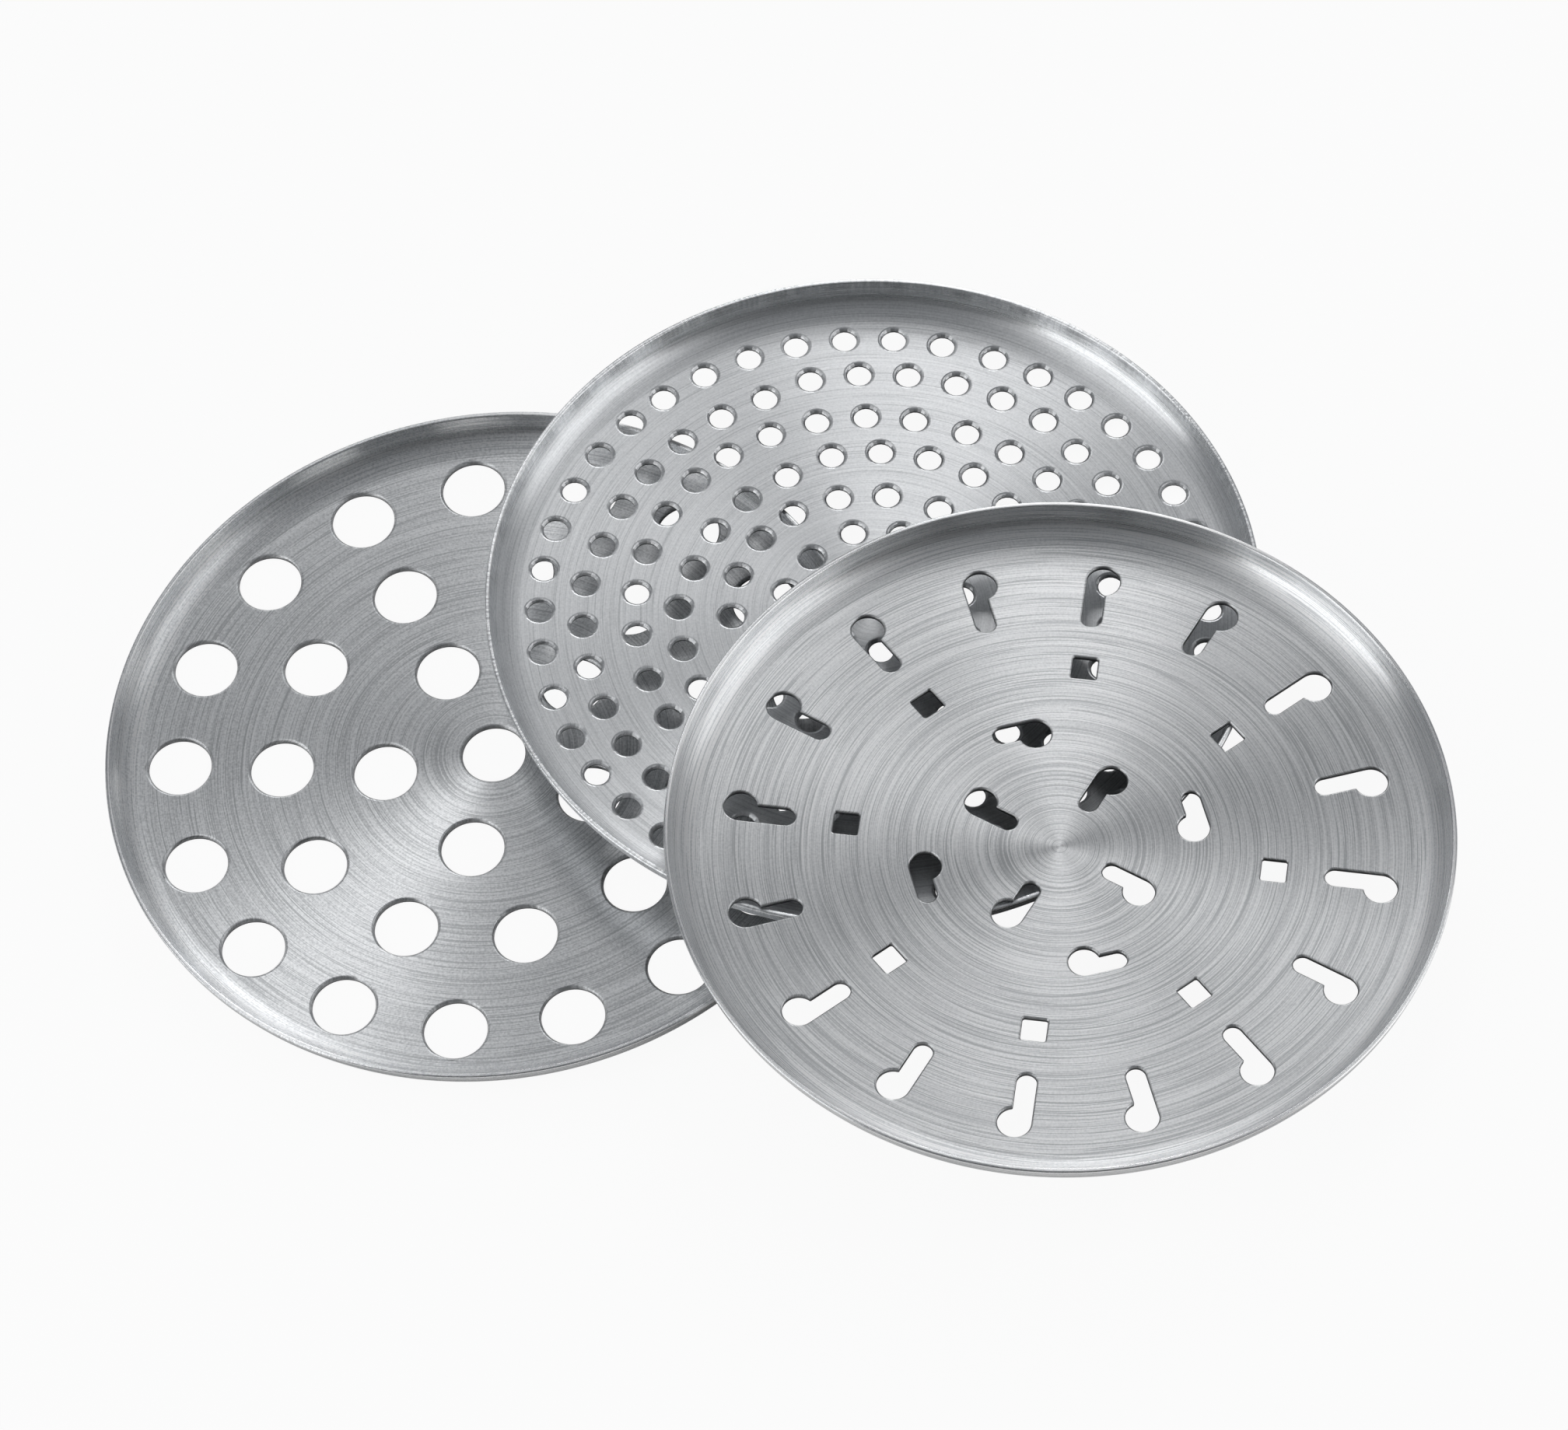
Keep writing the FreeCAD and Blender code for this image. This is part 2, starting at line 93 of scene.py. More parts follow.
@dataclass(frozen=True)
class Seat:
    """Place of one disc: the middle of its underside, and which way it faces and is turned."""

    centre: Vector
    normal: Vector
    turn: float

    @staticmethod
    def of_node(node: str, pan: "Pan", lean: float, heading: float, turn: float) -> "Seat":
        """Work out a disc's place from its CAD node's box.

        The lip is the widest part all round, and the bend is the lowest.

        Args:
            node: name of the CAD node.
            pan: sizes of the disc's pan.
            lean: how far the disc leans, in degrees.
            heading: which way it leans, in degrees from +X.
            turn: turn of the disc about its own axis, in degrees.

        Returns:
            The seat.
        """
        low, high = (Vector(corner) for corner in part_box(node))
        tilt, towards = math.radians(lean), math.radians(heading)
        level = math.sin(tilt)
        normal = Vector((level * math.cos(towards), level * math.sin(towards), math.cos(tilt)))
        centre = (low + high) / 2 - normal * (pan.rim_height - pan.lip_round)
        rise = pan.bend_radius * (1 - normal.z) + pan.flat_radius() * math.sin(tilt)
        return Seat(Vector((centre.x, centre.y, low.z + rise)), normal, turn)

    def tilt(self) -> Matrix:
        """Rotation from level to the way the disc leans, as a 4 by 4 matrix."""
        return Vector((0, 0, 1)).rotation_difference(self.normal).to_matrix().to_4x4()

    def matrix(self) -> Matrix:
        """Matrix that takes a disc made flat at the origin to its place."""
        spin = Matrix.Rotation(math.radians(self.turn), 4, "Z")
        return Matrix.Translation(self.centre) @ self.tilt() @ spin


# ------------------------------------------------------------------ node tree helper


class Tree:
    """Thin wrapper that adds nodes to a tree and links whatever sockets they are given."""

    def __init__(self, tree: bpy.types.NodeTree) -> None:
        """Start from an existing tree.

        Args:
            tree: the node tree to add to.
        """
        self.tree = tree

    def add(self, kind: str, inputs: dict | None = None, **settings: object) -> bpy.types.Node:
        """Add one node.

        Args:
            kind: the node's type.
            inputs: value or source socket for each input, by name or index.
            settings: properties of the node.

        Returns:
            The new node.
        """
        node = self.tree.nodes.new(kind)
        for name, value in settings.items():
            setattr(node, name, value)
        for key, value in (inputs or {}).items():
            socket = node.inputs[key]
            if isinstance(value, Socket):
                self.tree.links.new(value, socket)
            else:
                socket.default_value = value
        return node

    def math(self, operation: str, *values: Value) -> Socket:
        """Add a math node.

        Args:
            operation: what it works out.
            values: its numbers or source sockets, in order.

        Returns:
            Its output.
        """
        node = self.add("ShaderNodeMath", dict(enumerate(values)), operation=operation)
        return node.outputs[0]

    def vector(self, operation: str, *values: Several) -> Socket:
        """Add a vector math node.

        Args:
            operation: what it works out.
            values: its vectors or source sockets, in order.

        Returns:
            Its vector output.
        """
        node = self.add("ShaderNodeVectorMath", dict(enumerate(values)), operation=operation)
        return node.outputs[0]

    def total(self, *values: Value) -> Socket:
        """Add up numbers or sockets.

        Args:
            values: what is added, with a socket among the first two.

        Returns:
            Their sum.
        """
        total = values[0]
        for value in values[1:]:
            total = self.math("ADD", total, value)
        return total

    def map_range(
        self, value: Socket, low: float, high: float, first: float = 0.0, last: float = 1.0
    ) -> Socket:
        """Map a value from one range to another, and hold it within that one.

        Args:
            value: the source socket.
            low: value that gives the first result.
            high: value that gives the last result.
            first: result at the low end.
            last: result at the high end.

        Returns:
            The result.
        """
        inputs = dict(enumerate((value, low, high, first, last)))
        return self.add("ShaderNodeMapRange", inputs).outputs[0]

    def noise(self, vector: Socket, scale: float, detail: float) -> Socket:
        """Add noise, whose values lie on both sides of NOISE_MIDDLE."""
        inputs = {"Vector": vector, "Scale": scale, "Detail": detail}
        return self.add("ShaderNodeTexNoise", inputs).outputs[0]

    def swing(self, noise: Socket, reach: float) -> Socket:
        """Turn noise into a value about 0 that stays within reach of it."""
        return self.math("MULTIPLY", self.math("SUBTRACT", noise, NOISE_MIDDLE), reach * 2.0)

    def blend(self, share: Socket, first: Several, second: Several) -> Socket:
        """Mix two colours, or sockets of colours, by the second one's share."""
        inputs = {"Factor": share, 6: first, 7: second}
        return self.add("ShaderNodeMix", inputs, data_type="RGBA").outputs[2]

    def combine(self, x: Value = 0.0, y: Value = 0.0, z: Value = 0.0) -> Socket:
        """Join three numbers or sockets into a vector socket."""
        return self.add("ShaderNodeCombineXYZ", {0: x, 1: y, 2: z}).outputs[0]

    def polar(self, radius: Value, angle: Socket) -> Socket:
        """Vector of a length and a heading in the level plane."""
        x = self.math("MULTIPLY", radius, self.math("COSINE", angle))
        return self.combine(x, self.math("MULTIPLY", radius, self.math("SINE", angle)))

    def split(self, vector: Socket) -> list[Socket]:
        """Split a vector socket into its three numbers."""
        return list(self.add("ShaderNodeSeparateXYZ", {0: vector}).outputs)


# ------------------------------------------------------------------ outlines and punched edges


class Hole:
    """Shape of a punched hole."""

    def outline(self, grow: float) -> list[Vector]:
        """Points round the hole, counter-clockwise.

        Args:
            grow: how far outside the hole's wall the outline runs.

        Returns:
            The points, in the disc's plane.
        """
        raise NotImplementedError


@dataclass(frozen=True)
class RoundHole(Hole):
    """Outline of a round hole."""

    radius: float
    segments: int

    def outline(self, grow: float) -> list[Vector]:
        """Points round the hole, counter-clockwise.

        Args:
            grow: how far outside the hole's wall the outline runs.

        Returns:
            The points, in the disc's plane.
        """
        radius = self.radius + grow
        steps = (math.tau * i / self.segments for i in range(self.segments))
        return [Vector((radius * math.cos(a), radius * math.sin(a), 0)) for a in steps]


@dataclass(frozen=True)
class SquareHole(Hole):
    """Outline of a square hole with small rounded corners."""

    side: float
    corner_radius: float
    corner_steps: int = 6

    def outline(self, grow: float) -> list[Vector]:
        """Points round the hole, counter-clockwise.

        Args:
            grow: how far outside the hole's wall the outline runs.

        Returns:
            The points, in the disc's plane.
        """
        inner = self.side / 2 - self.corner_radius
        radius = self.corner_radius + grow
        points = []
        for quarter, (sx, sy) in enumerate(((1, 1), (-1, 1), (-1, -1), (1, -1))):
            for step in range(self.corner_steps + 1):
                angle = math.radians(90 * (quarter + step / self.corner_steps))
                arc = Vector((math.cos(angle), math.sin(angle), 0)) * radius
                points.append(Vector((sx * inner, sy * inner, 0)) + arc)
        return points


@dataclass(frozen=True)
class KeyholeSlot(Hole):
    """Outline of a keyhole slot along X: a round head, and a narrower tail back from it.

    The side towards +Y is straight, and the head bulges out of the other one.  reach is where the
    slot's outer end lies along X.
    """

    head_radius: float
    tail_radius: float
    length: float
    reach: float = 0.0
    side: Side = Side.OUTWARD
    neck_round: float = 0.3 * MM
    tail_steps: int = 18
    neck_steps: int = 4
    head_steps: int = 30

    def outline(self, grow: float) -> list[Vector]:
        """Points round the slot, counter-clockwise.

        Args:
            grow: how far outside the slot's wall the outline runs.

        Returns:
            The points, in the disc's plane.
        """
        head, tail, neck = self.head_radius, self.tail_radius, self.neck_round
        head_at = Vector((self.reach - head, tail - head, 0))
        tail_at = Vector((self.reach - self.length + tail, 0, 0))
        neck_y = -tail - neck
        drop = neck_y - head_at.y
        neck_x = head_at.x - math.sqrt((head + neck) ** 2 - drop**2)
        neck_at = Vector((neck_x, neck_y, 0))
        meet = math.degrees(math.atan2(drop, neck_x - head_at.x))
        points = arc_points(tail_at, tail + grow, 90, 270, self.tail_steps)
        points += arc_points(neck_at, neck - grow, 90, meet + 180, self.neck_steps)
        points += arc_points(head_at, head + grow, meet, 90, self.head_steps)
        turn = Matrix.Rotation(math.radians(self.side.value), 3, "Z")
        return [turn @ p for p in points]


def arc_points(centre: Vector, radius: float, first: float, last: float, steps: int) -> list[Vector]:
    """Points along an arc, both ends included.

    Args:
        centre: centre of the arc.
        radius: its radius.
        first: angle of the first point, in degrees.
        last: angle of the last point, taken on by a turn where it must come later.
        steps: number of steps from the first point to the last.

    Returns:
        The points.
    """
    if last < first and last - first < -180:
        last += 360
    angles = (math.radians(first + (last - first) * i / steps) for i in range(steps + 1))
    return [centre + radius * Vector((math.cos(a), math.sin(a), 0)) for a in angles]


def skin(name: str, loops: list[list[tuple[float, float, float]]], flip: bool = False) -> bpy.types.Object:
    """Join closed loops of equally many points, each to the next, with four-sided faces.

    Args:
        name: name of the object.
        loops: the loops, each counter-clockwise seen from above.
        flip: whether the faces are turned to the other side.

    Returns:
        The object, outside the scene's collections.
    """
    count = len(loops[0])
    faces = []
    for row in range(len(loops) - 1):
        near, far = row * count, (row + 1) * count
        for i in range(count):
            j = (i + 1) % count
            face = (near + i, near + j, far + j, far + i)
            faces.append((face[0], *reversed(face[1:])) if flip else face)
    data = bpy.data.meshes.new(name)
    data.from_pydata([p for loop in loops for p in loop], [], faces)
    data.update()
    return bpy.data.objects.new(name, data)


@dataclass(frozen=True)
class Dish:
    """Hollow that the punch presses round the top of a hole.

    Its third field is how much painted shade the dish takes where it meets the wall, on a scale that ends
    at 1 for the wall's foot.
    """

    width: float
    depth: float
    dish_shade: float = 0.4
    steps: int = 3


@dataclass
class PunchedEdge:
    """Edge of a punched hole: a dish on top, and below it a wall that the punch cut, both with painted
    shade that deepens down to the wall's foot.

    land is the narrow strip of sheet round both ends of it, and burr is how much the wall widens on
    its way down.
    """

    gauge: float
    dish: Dish
    land: float = 0.08 * MM
    burr: float = 0.05 * MM

    def section(self) -> list[tuple[float, float, float]]:
        """Section of the edge, from the sheet's top face to its underside.

        Returns:
            For each corner, how far outside the hole's wall it is, its height and how much painted shade
            it takes.
        """
        dish = self.dish
        rows = [(dish.width + self.land, self.gauge, 0.0)]
        for step in range(dish.steps + 1):
            share = step / dish.steps
            fall = share**2
            rows.append((dish.width * (1 - share), self.gauge - dish.depth * fall, dish.dish_shade * fall))
        rows.append((self.burr, 0.0, 1.0))
        rows.append((self.burr + self.land, 0.0, 0.0))
        return rows

    def mesh(self, name: str, shape: Hole) -> bpy.types.Object:
        """Build the edge as an object that the layout can repeat.

        Args:
            name: name of the object.
            shape: the hole that it follows.

        Returns:
            The object, outside the scene's collections.
        """
        # Each corner's share of painted shade goes along as a point attribute.
        loops, hole_shade = [], []
        for grow, height, shade_amount in self.section():
            loops.append([(p.x, p.y, height) for p in shape.outline(grow)])
            hole_shade += [shade_amount] * len(loops[-1])
        made = skin(name, loops)
        made.data.attributes.new("hole_shade", "FLOAT", "POINT").data.foreach_set("value", hole_shade)
        return made


# ------------------------------------------------------------------ the pressed pan


@dataclass
class Pan:
    """Shallow pressed pan with a leaning wall and a rounded lip.

    land is the narrow strip of floor that belongs to the rim.
    """

    rim_radius: float = 75.0 * MM
    rim_height: float = 7.0 * MM
    gauge: float = 1.0 * MM
    wall_lean: float = math.radians(12.0)
    bend_radius: float = 6.8 * MM
    lip_round: float = 0.35 * MM
    segments: int = 360
    bend_steps: int = 14
    lip_steps: int = 5
    land: float = 0.1 * MM

    def flat_radius(self) -> float:
        """Work out how far the flat floor reaches.

        Returns:
            Its radius, where the bend begins.
        """
        lip_centre = self.rim_radius - self.lip_round
        foot = lip_centre + self.lip_round / math.cos(self.wall_lean)
        foot -= (self.rim_height - self.lip_round) * math.tan(self.wall_lean)
        return foot - self.bend_radius * math.tan(math.pi / 4 - self.wall_lean / 2)

    def section(self) -> list[tuple[float, float]]:
        """Half section, from the floor's top face over the lip to its underside.

        Returns:
            Pairs of radius and height.
        """
        flat = self.flat_radius()
        lean = self.wall_lean
        bend_sweep = math.pi / 2 - lean
        inner_bend = self.bend_radius - self.gauge
        outer_lip = self.rim_radius - self.lip_round
        inner_lip = outer_lip - (self.gauge - 2 * self.lip_round) / math.cos(lean)
        lip_top = self.rim_height - self.lip_round
        upright = math.pi / 2
        rows = [(flat - self.land, self.gauge)]

        def arc(middle: tuple[float, float], radius: float, first: float, last: float, steps: int) -> None:
            """Add the corners of one arc.

            Args:
                middle: its centre.
                radius: its radius.
                first: angle of its first corner, in radians.
                last: angle of its last corner.
                steps: number of steps between them.
            """
            for step in range(steps + 1):
                angle = first + (last - first) * step / steps
                rows.append((middle[0] + radius * math.cos(angle), middle[1] + radius * math.sin(angle)))

        bend = (flat, self.bend_radius)
        arc(bend, inner_bend, -upright, bend_sweep - upright, self.bend_steps)
        arc((inner_lip, lip_top), self.lip_round, math.pi - lean, upright, self.lip_steps)
        arc((outer_lip, lip_top), self.lip_round, upright, -lean, self.lip_steps)
        arc(bend, self.bend_radius, bend_sweep - upright, -upright, self.bend_steps)
        rows.append((flat - self.land, 0.0))
        return rows

    def rim(self, name: str) -> bpy.types.Object:
        """Turn the section into the rim, without the floor.

        Args:
            name: name of the object.

        Returns:
            The rim as an object.
        """
        angles = [math.tau * i / self.segments for i in range(self.segments)]
        loops = [[(r * math.cos(a), r * math.sin(a), z) for a in angles] for r, z in self.section()]
        return skin(name, loops, flip=True)


# ------------------------------------------------------------------ rows of holes


@dataclass
class Row:
    """One ring of equal holes, evenly spaced."""

    edge: str
    count: int
    radius: float
    turn: float = 0.0


@dataclass(frozen=True)
class SectorShift:
    """How far neighbouring sectors of a row are moved opposite ways."""

    sectors: int
    out: float
    round: float


class DiscLayout:
    """Node tree that sets punched edges out in rows and closes the sheet between them.

    Points within WELD_DISTANCE are joined, and bends of less than SMOOTH_UP_TO are shaded smooth.
    SECTOR_MARGIN keeps a hole on a border between sectors clear of round-off.
    """

    WELD_DISTANCE = 0.002 * MM
    SMOOTH_UP_TO = math.radians(38)
    SECTOR_MARGIN = math.radians(1)

    def __init__(self, name: str, rows: list[Row], shift: SectorShift | None) -> None:
        """Build the tree.

        Args:
            name: name of the tree.
            rows: the rings of holes.
            shift: how sectors are moved, where the disc has any.
        """
        self.values: dict[str, object] = {}
        self.group = bpy.data.node_groups.new(name, "GeometryNodeTree")
        self.group.is_modifier = True
        self.nodes = Tree(self.group)
        self.group.interface.new_socket("Rim", in_out="INPUT", socket_type="NodeSocketGeometry")
        self.group.interface.new_socket("Disc", in_out="OUTPUT", socket_type="NodeSocketGeometry")
        for row in rows:
            if row.edge not in self.values:
                self.values[row.edge] = bpy.data.objects[row.edge]
                self.group.interface.new_socket(row.edge, in_out="INPUT", socket_type="NodeSocketObject")
        for number, row in enumerate(rows):
            for label, kind, value in (
                (f"Row {number} Holes", "NodeSocketInt", row.count),
                (f"Row {number} Radius", "NodeSocketFloat", row.radius),
                (f"Row {number} Turn", "NodeSocketFloat", math.radians(row.turn)),
            ):
                self.values[label] = value
                self.group.interface.new_socket(label, in_out="INPUT", socket_type=kind)
        for label, kind, value in (
            ("Shift Out", "NodeSocketFloat", shift.out if shift else 0.0),
            ("Shift Round", "NodeSocketFloat", shift.round if shift else 0.0),
            ("Gauge", "NodeSocketFloat", None),
            ("Finish", "NodeSocketMaterial", None),
        ):
            if value is not None:
                self.values[label] = value
            self.group.interface.new_socket(label, in_out="INPUT", socket_type=kind)
        self.inputs = self.nodes.add("NodeGroupInput")
        holes = [self.row_of_edges(number, row, shift) for number, row in enumerate(rows)]
        self.close_sheet(holes)

    def row_of_edges(self, number: int, row: Row, shift: SectorShift | None) -> Socket:
        """Punched edges of one ring.

        Args:
            number: the ring's place in the list of rows.
            row: the ring.
            shift: how its sectors are moved.

        Returns:
            The ring's instances.
        """
        t, given = self.nodes, self.inputs.outputs
        holes, radius = given[f"Row {number} Holes"], given[f"Row {number} Radius"]
        index = t.add("GeometryNodeInputIndex").outputs[0]
        share = t.math("DIVIDE", t.math("MULTIPLY", index, math.tau), holes)
        angle = t.math("ADD", share, given[f"Row {number} Turn"])
        place = t.polar(radius, angle)
        if shift:
            place = t.vector("ADD", place, self.sector_offset(row, shift, angle))
        points = t.add("GeometryNodePoints", {"Count": holes, "Position": place}).outputs[0]
        edge = t.add("GeometryNodeObjectInfo", {"Object": given[row.edge]}).outputs["Geometry"]
        instances = t.add(
            "GeometryNodeInstanceOnPoints",
            {"Points": points, "Instance": edge, "Rotation": t.combine(z=angle)},
        )
        return instances.outputs[0]

    def sector_offset(
        self, row: Row, shift: SectorShift, angle: Socket
    ) -> Socket:
        """Vector by which each hole of a ring is moved with its sector.

        A ring with an odd number of holes in each sector has one on the sector's middle line, and
        its sectors are moved round the disc.  In other rings they are moved in and out.

        Args:
            row: the ring.
            shift: number of sectors.
            angle: each hole's angle about the disc.

        Returns:
            The offset.
        """
        t, given = self.nodes, self.inputs.outputs
        step = math.tau / shift.sectors
        round_row = (row.count // shift.sectors) % 2 == 1
        clockwise = t.math("SUBTRACT", math.tau + self.SECTOR_MARGIN, angle)
        share = t.math("DIVIDE", clockwise, step)
        sector = t.math("ROUND" if round_row else "FLOOR", share)
        sign = t.math("SUBTRACT", 1.0, t.math("MULTIPLY", 2.0, t.math("FLOORED_MODULO", sector, 2.0)))
        middle = t.math("MULTIPLY", t.math("ADD", sector, 0.0 if round_row else 0.5), -step)
        heading = t.math("ADD", middle, math.pi / 2 if round_row else 0.0)
        reach = t.math("MULTIPLY", sign, given["Shift Round" if round_row else "Shift Out"])
        return t.polar(reach, heading)

    def close_sheet(self, holes: list[Socket]) -> None:
        """Fill the floor between the rim and all punched edges, and finish the tree.

        Args:
            holes: instances of every ring.
        """
        t, given = self.nodes, self.inputs.outputs
        joined = t.add("GeometryNodeJoinGeometry")
        for piece in holes + [given["Rim"]]:
            t.tree.links.new(piece, joined.inputs[0])
        solid = t.add("GeometryNodeRealizeInstances", {"Geometry": joined.outputs[0]}).outputs[0]
        neighbours = t.add("GeometryNodeInputMeshEdgeNeighbors").outputs[0]
        open_edge = t.add(
            "FunctionNodeCompare", {2: neighbours, 3: 1}, data_type="INT", operation="EQUAL"
        ).outputs[0]
        height = t.split(t.add("GeometryNodeInputPosition").outputs[0])[2]
        half_way = t.math("DIVIDE", given["Gauge"], 2.0)
        sheets = []
        for above in (True, False):
            side = t.math("GREATER_THAN" if above else "LESS_THAN", height, half_way)
            chosen = t.add("FunctionNodeBooleanMath", {0: open_edge, 1: side}, operation="AND").outputs[0]
            outline = t.add("GeometryNodeMeshToCurve", {"Mesh": solid, "Selection": chosen}).outputs[0]
            sheet = t.add("GeometryNodeFillCurve", {"Curve": outline}).outputs[0]
            lift = t.combine(z=given["Gauge"]) if above else t.combine()
            sheet = t.add("GeometryNodeTransform", {"Geometry": sheet, "Translation": lift}).outputs[0]
            if not above:
                sheet = t.add("GeometryNodeFlipFaces", {"Mesh": sheet}).outputs[0]
            sheets.append(sheet)
        whole = t.add("GeometryNodeJoinGeometry")
        for piece in [solid] + sheets:
            t.tree.links.new(piece, whole.inputs[0])
        welded = t.add(
            "GeometryNodeMergeByDistance", {"Geometry": whole.outputs[0], "Distance": self.WELD_DISTANCE}
        )
        bend = t.add("GeometryNodeInputMeshEdgeAngle").outputs[0]
        soft = t.math("LESS_THAN", bend, self.SMOOTH_UP_TO)
        smooth = t.add(
            "GeometryNodeSetShadeSmooth",
            {"Geometry": welded.outputs[0], "Shade Smooth": soft},
            domain="EDGE",
        ).outputs[0]
        real = t.add("GeometryNodeRealizeInstances", {"Geometry": smooth}).outputs[0]
        dressed = t.add("GeometryNodeSetMaterial", {"Geometry": real, "Material": given["Finish"]})
        out = t.add("NodeGroupOutput")
        t.tree.links.new(dressed.outputs[0], out.inputs[0])

    def apply(self, rim: bpy.types.Object, gauge: float, finish: bpy.types.Material) -> bpy.types.Mesh:
        """Run the tree on a rim.

        Args:
            rim: object that holds the rim.
            gauge: thickness of the sheet.
            finish: material of the disc.

        Returns:
            The finished disc, flat at the origin.
        """
        values = dict(self.values)
        values["Gauge"] = gauge
        values["Finish"] = finish
        modifier = rim.modifiers.new("Layout", "NODES")
        modifier.node_group = self.group
        for item in self.group.interface.items_tree:
            if item.in_out == "INPUT" and item.name in values:
                modifier[item.identifier] = values[item.name]
        bpy.context.scene.collection.objects.link(rim)
        evaluated = rim.evaluated_get(bpy.context.evaluated_depsgraph_get())
        data = bpy.data.meshes.new_from_object(evaluated)
        bpy.data.objects.remove(rim)
        return data


# ------------------------------------------------------------------ finishes


@dataclass(frozen=True)
class Grain:
    """One set of grain lines that run round a disc.

    density is in lines for each metre across them, and change is how often they change in each
    metre of their own length.
    """

    density: float
    change: float
    detail: float

    def noise(self, t: Tree, x: Socket, y: Socket, path: Socket) -> Socket:
        """Add the lines to a material.

        Args:
            t: the material's tree.
            x: distance from the disc's axis, one way.
            y: distance from the disc's axis, the other way.
            path: distance from the middle, along the surface.

        Returns:
            Values on both sides of NOISE_MIDDLE.
        """
        along = t.combine(t.math("MULTIPLY", x, self.change), t.math("MULTIPLY", y, self.change))
        across = t.combine(z=t.math("MULTIPLY", path, self.density))
        return t.noise(t.vector("ADD", along, across), 1.0, self.detail)


@dataclass(frozen=True)
class TurnedSteel:
    """Stainless sheet with a concentric grain, struck about the disc's own middle.

    Contrasts and speckle are shares of the way from the dark colour to the light one, and ticks is
    the height of the nicks at the rim, as a multiple of bump.
    """

    name: str
    light: Colour
    dark: Colour
    line_contrast: float
    band_contrast: float
    bump: float
    ticks: float = 0.15
    speckle: float = 0.4
    # Near-black colour of the painted shade on the punched edges.
    hole_shade: Colour = (0.06, 0.062, 0.065)
    mean_tone: float = 0.62
    roughness: float = 0.36
    anisotropy: float = 0.85
    quarter_turn: float = 0.25
    fine: Grain = Grain(density=4600.0, change=26.0, detail=2.0)
    cross: Grain = Grain(density=3450.0, change=40.0, detail=1.0)
    bands: Grain = Grain(density=2300.0, change=12.0, detail=2.0)
    scratch_from: float = 0.57
    scratch_to: float = 0.63
    scratch_share: float = 0.6
    band_near: float = 6.0 * MM
    band_far: float = 30.0 * MM
    band_far_share: float = 0.4
    band_wall_share: float = 1.3
    band_roughness: float = 0.2
    cloud_scale: float = 26.0
    cloud_detail: float = 3.0
    cloud_contrast: float = 0.1
    speckle_scale: float = 2200.0
    speckle_detail: float = 1.0
    tick_count: float = 110.0
    tick_change: float = 240.0
    tick_detail: float = 3.0
    tick_shade: float = 0.3
    tick_from: float = 4.2 * MM
    tick_to: float = 5.6 * MM
    wall_blend: float = 2.0 * MM
    # Painted sheen: how much lighter the wall's colour is made than the floor's.
    wall_painted_sheen: float = 0.15
    wall_polish: float = 0.08
    bend_dulling: float = 0.10
    polish_from: float = 1.0 * MM
    polish_to: float = 4.0 * MM

    def material(self, seat: Seat, flat_radius: float) -> bpy.types.Material:
        """Make the material for one disc.

        Args:
            seat: where the disc lies, so that the grain is centred on it.
            flat_radius: radius of its flat floor.

        Returns:
            The material.
        """
        made = bpy.data.materials.new(self.name)
        made.use_nodes = True
        made.node_tree.nodes.clear()
        t = Tree(made.node_tree)
        place = t.add("ShaderNodeTexCoord").outputs["Object"]
        local = t.add(
            "ShaderNodeMapping",
            {"Vector": place, "Location": seat.centre, "Rotation": seat.tilt().to_euler()},
            vector_type="TEXTURE",
        ).outputs[0]
        x, y, z = t.split(local)
        radius = t.add("ShaderNodeVectorMath", {0: t.combine(x, y)}, operation="LENGTH").outputs["Value"]
        path = t.math("ADD", radius, z)
        drawn = t.map_range(radius, flat_radius, flat_radius + self.wall_blend)
        # Share of painted shade at each point of a punched edge.
        hole_shade = t.add("ShaderNodeAttribute", attribute_name="hole_shade").outputs["Fac"]

        fine, cross, bands = (grain.noise(t, x, y, path) for grain in (self.fine, self.cross, self.bands))
        scratch = t.map_range(cross, self.scratch_from, self.scratch_to)
        scratch = t.math("MULTIPLY", scratch, -self.scratch_share)
        ticks = self.rim_ticks(t, x, y, z, drawn)
        spread = t.map_range(radius, self.band_near, self.band_far, 1.0, self.band_far_share)
        spread = t.math("MAXIMUM", spread, t.math("MULTIPLY", drawn, self.band_wall_share))
        wide = t.math("MULTIPLY", t.math("SUBTRACT", bands, NOISE_MIDDLE), spread)

        share = t.total(
            self.mean_tone,
            t.swing(fine, self.line_contrast),
            t.math("MULTIPLY", scratch, self.line_contrast),
            t.math("MULTIPLY", wide, self.band_contrast * 2.0),
            t.swing(t.noise(local, self.cloud_scale, self.cloud_detail), self.cloud_contrast),
            t.swing(t.noise(local, self.speckle_scale, self.speckle_detail), self.speckle),
            # Painted shade on the punched edges, taken off the tone.
            t.math("MULTIPLY", hole_shade, -1.0),
            t.math("MULTIPLY", ticks, -self.tick_shade),
        )
        share = t.add("ShaderNodeClamp", {0: share}).outputs[0]
        colour = t.blend(share, (*self.dark, 1.0), (*self.light, 1.0))
        # Painted shade: the punched edges turn towards a near-black colour.
        colour = t.blend(hole_shade, colour, (*self.hole_shade, 1.0))
        # Painted sheen: the wall's colour is made lighter than the floor's.
        sheen_gain = t.math("ADD", 1.0, t.math("MULTIPLY", drawn, self.wall_painted_sheen))
        colour = t.vector("MULTIPLY", colour, t.combine(sheen_gain, sheen_gain, sheen_gain))

        polish = t.map_range(z, self.polish_from, self.polish_to, -self.bend_dulling, self.wall_polish)
        rough = t.math("ADD", self.roughness, t.math("MULTIPLY", wide, self.band_roughness))
        rough = t.math("SUBTRACT", rough, t.math("MULTIPLY", drawn, polish))
        height = t.total(fine, scratch, ticks)
        bump = t.add("ShaderNodeBump", {"Strength": 1.0, "Distance": self.bump, "Height": height})

